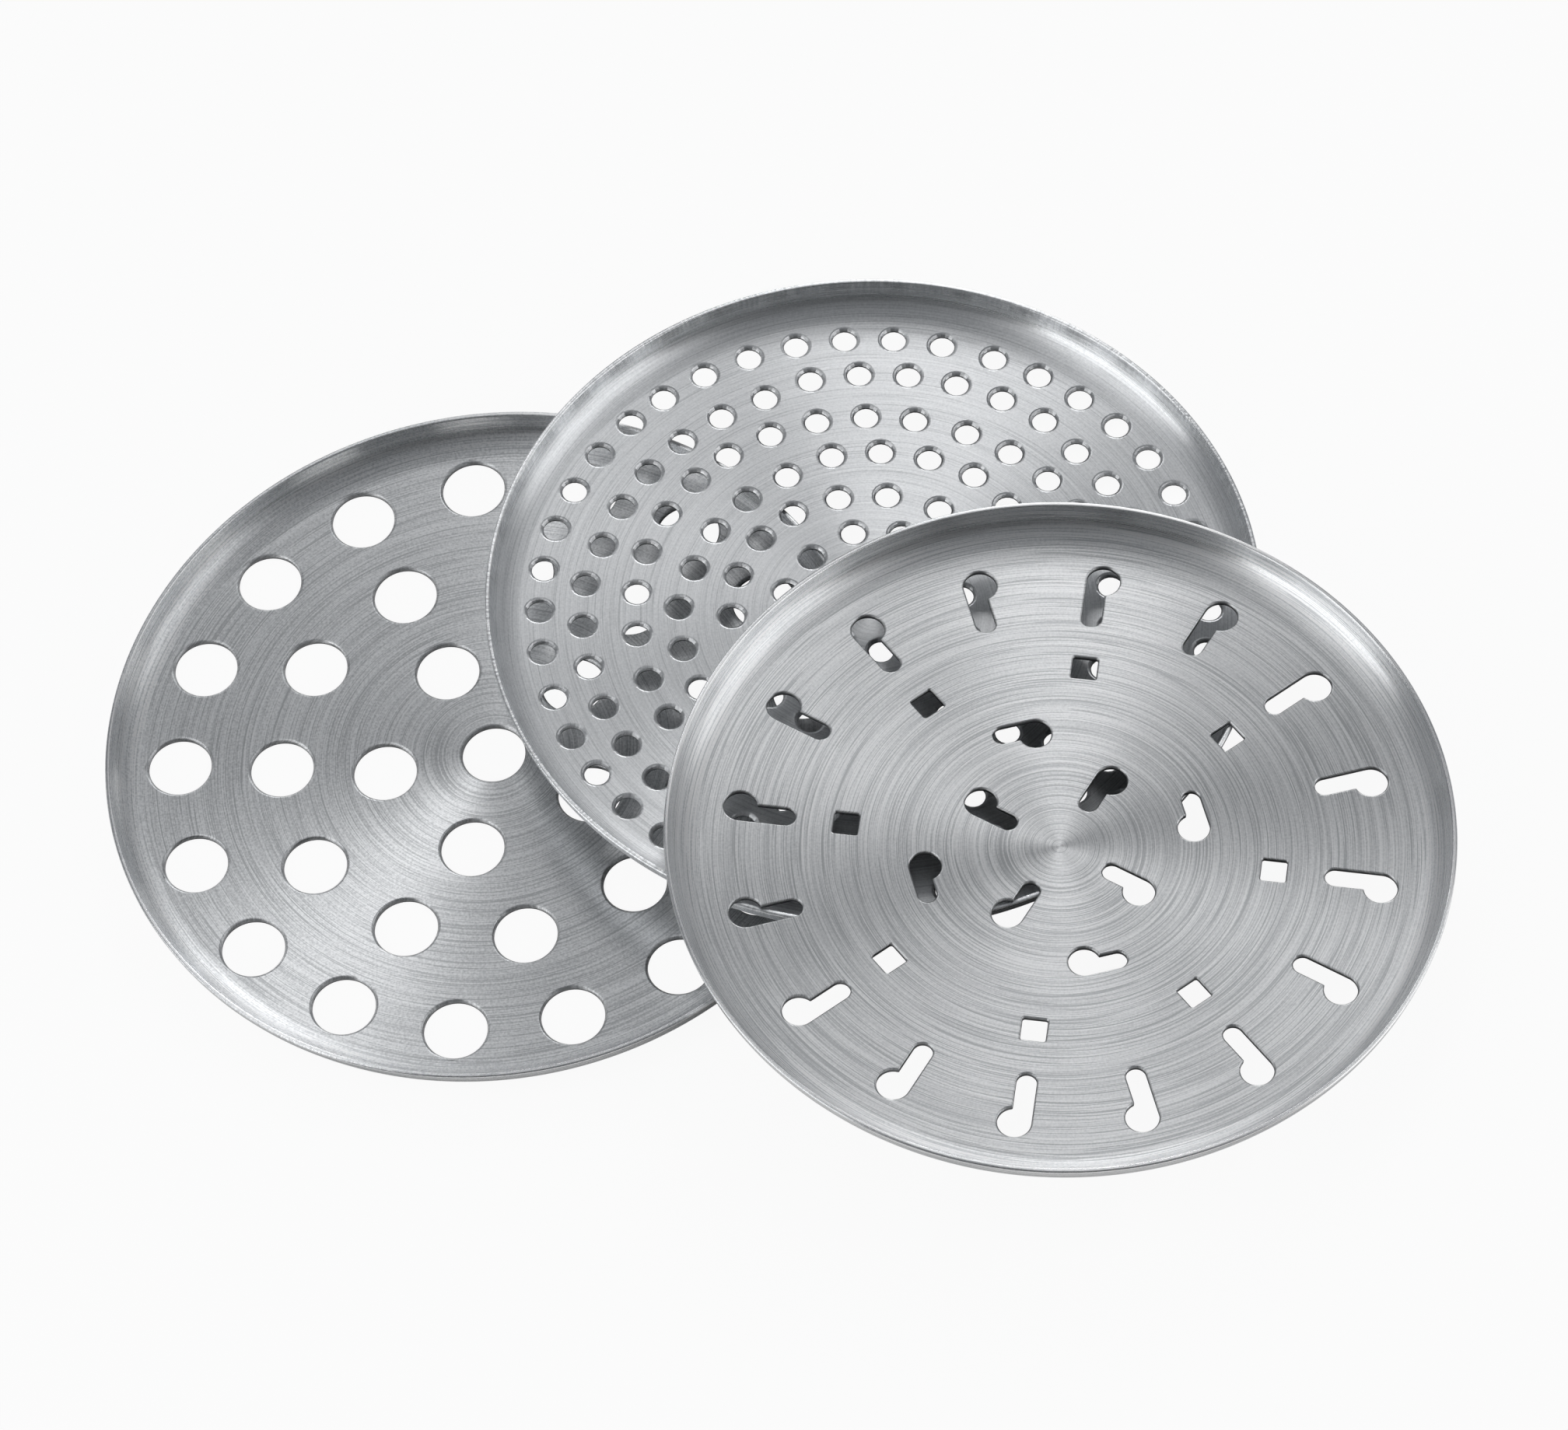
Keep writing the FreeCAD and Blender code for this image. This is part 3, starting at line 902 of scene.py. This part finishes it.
        outward = t.vector("SUBTRACT", place, tuple(seat.centre))
        tangent = t.vector("CROSS_PRODUCT", t.combine(*seat.normal), outward)
        steel = t.add(
            "ShaderNodeBsdfPrincipled",
            {
                "Base Color": colour,
                "Metallic": 1.0,
                "Roughness": rough,
                "Anisotropic": self.anisotropy,
                "Anisotropic Rotation": self.quarter_turn,
                "Tangent": t.vector("NORMALIZE", tangent),
                "Normal": bump.outputs[0],
            },
        )
        out = t.add("ShaderNodeOutputMaterial")
        t.tree.links.new(steel.outputs[0], out.inputs[0])
        return made

    def rim_ticks(self, t: Tree, x: Socket, y: Socket, z: Socket, drawn: Socket) -> Socket:
        """Short nicks across the top of the wall, left by the trimming of the rim.

        Args:
            t: the material's tree.
            x: distance from the disc's axis, one way.
            y: distance from the disc's axis, the other way.
            z: height above the underside.
            drawn: 1 on the wall and 0 on the floor.

        Returns:
            Height of the nicks, as a multiple of bump.
        """
        around = t.vector("NORMALIZE", t.combine(x, y))
        around = t.vector("MULTIPLY", around, (self.tick_count, self.tick_count, 0.0))
        vector = t.vector("ADD", around, t.combine(z=t.math("MULTIPLY", z, self.tick_change)))
        swing = t.swing(t.noise(vector, 1.0, self.tick_detail), self.ticks / 2)
        high = t.map_range(z, self.tick_from, self.tick_to)
        return t.math("MULTIPLY", swing, t.math("MULTIPLY", high, drawn))


COARSE_FINISH = TurnedSteel(
    name="turned_steel_coarse",
    light=(0.92, 0.93, 0.94),
    dark=(0.55, 0.562, 0.574),
    line_contrast=1.0,
    band_contrast=0.15,
    bump=0.012 * MM,
    speckle=0.8,
)

MEDIUM_FINISH = TurnedSteel(
    name="satin_steel_medium",
    light=(0.88, 0.89, 0.90),
    dark=(0.56, 0.572, 0.584),
    line_contrast=0.6,
    band_contrast=0.08,
    bump=0.008 * MM,
    ticks=6.0,
)

KEYHOLE_FINISH = TurnedSteel(
    name="turned_steel_keyhole",
    light=(0.97, 0.975, 0.98),
    dark=(0.57, 0.582, 0.594),
    line_contrast=1.15,
    band_contrast=0.20,
    bump=0.014 * MM,
)


# ------------------------------------------------------------------ the three discs


@dataclass
class Disc:
    """What all three discs share: a pan, a finish, and how they are put together."""

    node: str
    body: str
    slot: str
    finish: TurnedSteel
    dish: Dish
    turn: float
    lean: float = 0.0
    lean_heading: float = 0.0
    pan: Pan = field(default_factory=Pan)
    shift: SectorShift | None = None

    def shapes(self) -> dict[str, Hole]:
        """Outline of each kind of hole, by the name of its punched edge."""
        raise NotImplementedError

    def rows(self) -> list[Row]:
        """Rings of holes, from the middle out."""
        raise NotImplementedError

    def build(self) -> bpy.types.Object:
        """Build the disc, dress it and stand it in for its CAD node.

        Returns:
            The finished piece.
        """
        edge = PunchedEdge(self.pan.gauge, self.dish)
        tools = [edge.mesh(name, shape) for name, shape in self.shapes().items()]
        seat = Seat.of_node(self.node, self.pan, self.lean, self.lean_heading, self.turn)
        material = self.finish.material(seat, self.pan.flat_radius())
        layout = DiscLayout(self.node + "_layout", self.rows(), self.shift)
        data = layout.apply(self.pan.rim(self.node + "_rim"), self.pan.gauge, material)
        data.name = self.node + "_pressing"
        data.transform(seat.matrix())
        piece = bpy.data.objects.new(self.node + "_pressing", data)
        bpy.context.scene.collection.objects.link(piece)
        for tool in tools:
            bpy.data.objects.remove(tool)
        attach(piece, self.body)
        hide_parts(self.node)
        LOG.info("%s: %d faces", piece.name, len(data.polygons))
        return piece


@dataclass
class CoarseDisc(Disc):
    """Disc with a middle hole and three rings of large round holes."""

    node: str = "coarse_disc"
    body: str = "coarse_body"
    slot: str = "turned_steel"
    finish: TurnedSteel = COARSE_FINISH
    dish: Dish = Dish(width=0.6 * MM, depth=0.5 * MM, steps=4)
    turn: float = 106.68
    hole_radius: float = 6.1 * MM
    first_ring: float = 21.3 * MM
    ring_step: float = 20.0 * MM
    ring_counts: tuple[int, ...] = (5, 11, 17)
    hole_segments: int = 72

    def shapes(self) -> dict[str, Hole]:
        """Outline of the one kind of hole."""
        return {"coarse_edge": RoundHole(self.hole_radius, self.hole_segments)}

    def rows(self) -> list[Row]:
        """Set out the middle hole and the rings about it.

        Returns:
            The rings, from the middle out.
        """
        rings = [
            Row("coarse_edge", count, self.first_ring + ring * self.ring_step)
            for ring, count in enumerate(self.ring_counts)
        ]
        return [Row("coarse_edge", 1, 0.0)] + rings


@dataclass
class MediumDisc(Disc):
    """Disc with rows of small round holes, punched in sectors."""

    node: str = "medium_disc"
    body: str = "medium_body"
    slot: str = "satin_steel"
    finish: TurnedSteel = MEDIUM_FINISH
    # Its dishes take only a little painted shade.
    dish: Dish = Dish(width=0.74 * MM, depth=0.55 * MM, dish_shade=0.05)
    turn: float = 93.77
    lean: float = SHARED_LEAN
    lean_heading: float = SHARED_HEADING
    shift: SectorShift = SectorShift(sectors=6, out=0.79 * MM, round=0.57 * MM)
    hole_radius: float = 2.4 * MM
    last_row: float = 64.75 * MM
    row_step: float = 9.3 * MM
    row_count: int = 7
    hole_segments: int = 20

    def shapes(self) -> dict[str, Hole]:
        """Outline of the one kind of hole."""
        return {"medium_edge": RoundHole(self.hole_radius, self.hole_segments)}

    def rows(self) -> list[Row]:
        """Set out rows with as many holes in each sector as the row's number.

        Returns:
            The rows, from the middle out.
        """
        return [
            Row(
                "medium_edge",
                number * self.shift.sectors,
                self.last_row - (self.row_count - number) * self.row_step,
            )
            for number in range(1, self.row_count + 1)
        ]


@dataclass
class KeyholeDisc(Disc):
    """Disc with keyhole slots and square holes on one grid of angles."""

    node: str = "keyhole_disc"
    body: str = "keyhole_body"
    slot: str = "turned_steel"
    finish: TurnedSteel = KEYHOLE_FINISH
    dish: Dish = Dish(width=0.36 * MM, depth=0.32 * MM)
    turn: float = -16.7
    lean: float = SHARED_LEAN
    lean_heading: float = SHARED_HEADING
    outer_slot: KeyholeSlot = KeyholeSlot(head_radius=3.2 * MM, tail_radius=1.9 * MM, length=13.9 * MM)
    inner_slot: KeyholeSlot = KeyholeSlot(head_radius=3.05 * MM, tail_radius=1.8 * MM, length=11.4 * MM)
    cross_slot: KeyholeSlot = KeyholeSlot(
        head_radius=3.05 * MM, tail_radius=1.8 * MM, length=11.0 * MM, reach=5.5 * MM, side=Side.CLOCKWISE
    )
    square: SquareHole = SquareHole(side=4.8 * MM, corner_radius=0.45 * MM)
    outer_reach: float = 64.4 * MM
    inner_reach: float = 20.9 * MM
    cross_radius: float = 27.0 * MM
    square_radius: float = 40.8 * MM
    grid_angle: float = 22.5
    outer_count: int = 16
    square_count: int = 8
    inner_count: int = 4

    def shapes(self) -> dict[str, Hole]:
        """Name the slots and the square holes.

        Returns:
            Each one's shape, by the name of its punched edge.
        """
        return {
            "outer_slot_edge": self.outer_slot,
            "inner_slot_edge": self.inner_slot,
            "cross_slot_edge": self.cross_slot,
            "square_edge": self.square,
        }

    def rows(self) -> list[Row]:
        """Set out the rings of each kind; an outer or inner slot is placed by its outer end.

        Returns:
            The rings.
        """
        return [
            Row("inner_slot_edge", self.inner_count, self.inner_reach, -self.grid_angle),
            Row("cross_slot_edge", self.inner_count, self.cross_radius, self.grid_angle),
            Row("square_edge", self.square_count, self.square_radius),
            Row("outer_slot_edge", self.outer_count, self.outer_reach),
        ]


# ------------------------------------------------------------------ the studio


@dataclass(frozen=True)
class Softbox:
    """Rectangular soft lamp that hangs on a sphere round the pile and faces its middle."""

    name: str
    heading: float
    elevation: float
    width: float
    height: float
    power: float
    distance: float = 0.85

    def hang(self, middle: Vector) -> None:
        """Make the lamp and hang it.

        Args:
            middle: point that it faces.
        """
        light = bpy.data.lights.new(self.name, "AREA")
        light.shape = "RECTANGLE"
        light.size, light.size_y = self.width, self.height
        light.energy = self.power
        heading, elevation = math.radians(self.heading), math.radians(self.elevation)
        level = math.cos(elevation)
        away = Vector((level * math.cos(heading), level * math.sin(heading), math.sin(elevation)))
        lamp = bpy.data.objects.new(self.name, light)
        lamp.location = middle + away * self.distance
        lamp.rotation_euler = (-away).to_track_quat("-Z", "Y").to_euler()
        bpy.context.scene.collection.objects.link(lamp)


SOFTBOXES = (
    Softbox("left_low_box", 195.0, 20.0, 0.70, 0.30, 1.20),
    Softbox("left_high_box", 198.0, 45.0, 0.60, 0.28, 0.54),
    Softbox("right_low_box", 345.0, 15.0, 0.70, 0.30, 0.96),
    Softbox("right_high_box", 350.0, 42.0, 0.70, 0.30, 0.67),
    Softbox("back_strip", 73.0, 30.0, 0.60, 0.42, 3.8, 2.0),
    Softbox("back_high_box", 85.0, 48.0, 1.00, 0.50, 2.15, 2.0),
    Softbox("top_box", 155.0, 68.0, 0.50, 0.50, 0.97, 1.6),
)


@dataclass(frozen=True)
class Camera:
    """Camera that stands well back and looks down at the pile, rolled a little."""

    elevation: float = 58.14
    roll: float = -10.74
    distance: float = 1.848
    target: tuple[float, float, float] = (4.82 * MM, 16.85 * MM, 0.0)
    sensor_width: float = 36.0
    focal_length: float = 219.5

    def stand(self) -> None:
        """Make the camera, aim it and give it to the scene."""
        elevation, roll = math.radians(self.elevation), math.radians(self.roll)
        target = Vector(self.target)
        forward = Vector((0, math.cos(elevation), -math.sin(elevation)))
        right = Vector((1, 0, 0))
        up = right.cross(forward)
        across = right * math.cos(roll) + up * math.sin(roll)
        upright = up * math.cos(roll) - right * math.sin(roll)
        turn = Matrix((across, upright, -forward)).transposed().to_4x4()
        lens = bpy.data.cameras.new("camera")
        lens.sensor_width = self.sensor_width
        lens.lens = self.focal_length
        camera = bpy.data.objects.new("camera", lens)
        camera.matrix_world = Matrix.Translation(target - forward * self.distance) @ turn
        bpy.context.scene.collection.objects.link(camera)
        bpy.context.scene.camera = camera


@dataclass
class Studio:
    """Floor, dark card, room, soft lamps and camera."""

    floor_size: float = 6.0
    glow_share: float = 0.93
    shade_reach: float = 60.0 * MM
    shade_samples: int = 8
    shade_floor: float = 0.20
    mirrored_white: float = 0.8
    card_width: float = 3.2
    card_height: float = 1.0
    card_depth: float = -1.25
    card_colour: Colour = (0.02, 0.02, 0.02)
    card_roughness: float = 0.9
    room_colour: Colour = (0.93, 0.96, 1.0)
    room_strength: float = 0.22
    lamp_aim: float = 0.01

    def panel(self, name: str, corners: list, material: bpy.types.Material) -> bpy.types.Object:
        """Make a flat piece of the studio.

        Args:
            name: name of the object.
            corners: its four corners, in order.
            material: its material.

        Returns:
            The object, in the scene.
        """
        data = bpy.data.meshes.new(name)
        data.from_pydata(corners, [], [(0, 1, 2, 3)])
        data.materials.append(material)
        made = bpy.data.objects.new(name, data)
        bpy.context.scene.collection.objects.link(made)
        return made

    def floor(self) -> None:
        """Lay a pale floor that keeps a soft shadow of the discs.

        Where it is mirrored in the steel it is darker close to the discs.
        """
        half = self.floor_size / 2
        corners = [(-half, -half, 0), (half, -half, 0), (half, half, 0), (-half, half, 0)]
        made = bpy.data.materials.new("floor_paper")
        made.use_nodes = True
        made.node_tree.nodes.clear()
        t = Tree(made.node_tree)
        rays = t.add("ShaderNodeLightPath").outputs
        seen = t.math("MAXIMUM", rays["Is Camera Ray"], rays["Is Transmission Ray"])
        seen = t.math("MAXIMUM", seen, rays["Is Glossy Ray"])
        open_sky = t.add(
            "ShaderNodeAmbientOcclusion", {"Distance": self.shade_reach}, samples=self.shade_samples
        ).outputs["AO"]
        mirrored = t.map_range(open_sky, self.shade_floor, 1.0, 0.0, self.mirrored_white)
        shade = t.add("ShaderNodeMix", {0: rays["Is Glossy Ray"], 2: 1.0, 3: mirrored}).outputs[0]
        glow = t.add("ShaderNodeEmission", {"Color": (1, 1, 1, 1), "Strength": shade}).outputs[0]
        paper = t.add("ShaderNodeBsdfDiffuse", {"Color": (1, 1, 1, 1)}).outputs[0]
        share = t.math("MULTIPLY", seen, self.glow_share)
        mixed = t.add("ShaderNodeMixShader", {0: share, 1: paper, 2: glow}).outputs[0]
        out = t.add("ShaderNodeOutputMaterial")
        t.tree.links.new(mixed, out.inputs[0])
        ground = self.panel("floor", corners, made)

    def card(self) -> None:
        """Stand a dark card in front, which only shows as a reflection in the steel."""
        half, depth, height = self.card_width / 2, self.card_depth, self.card_height
        corners = [(-half, depth, 0), (half, depth, 0), (half, depth, height), (-half, depth, height)]
        made = bpy.data.materials.new("black_card")
        made.use_nodes = True
        face = made.node_tree.nodes["Principled BSDF"]
        face.inputs["Base Color"].default_value = (*self.card_colour, 1)
        face.inputs["Roughness"].default_value = self.card_roughness
        card = self.panel("front_card", corners, made)
        card.visible_camera = False
        card.visible_diffuse = False
        card.visible_transmission = False
        card.visible_shadow = False

    def world(self) -> None:
        """Give the room a faint even light."""
        world = bpy.data.worlds.new("room")
        world.use_nodes = True
        back = world.node_tree.nodes["Background"]
        back.inputs[0].default_value = (*self.room_colour, 1)
        back.inputs[1].default_value = self.room_strength
        bpy.context.scene.world = world

    def build(self) -> None:
        """Set the whole studio up round the pile."""
        self.world()
        self.floor()
        self.card()
        for softbox in SOFTBOXES:
            softbox.hang(Vector((0, 0, self.lamp_aim)))
        Camera().stand()


# ------------------------------------------------------------------ making everything


def main() -> None:
    """Build the discs and the studio, in order."""
    logging.basicConfig(level=logging.INFO)
    bpy.context.scene.view_settings.view_transform = "Standard"
    Studio().build()
    for disc in (CoarseDisc(), MediumDisc(), KeyholeDisc()):
        disc.build()


if __name__ == "__main__":
    main()
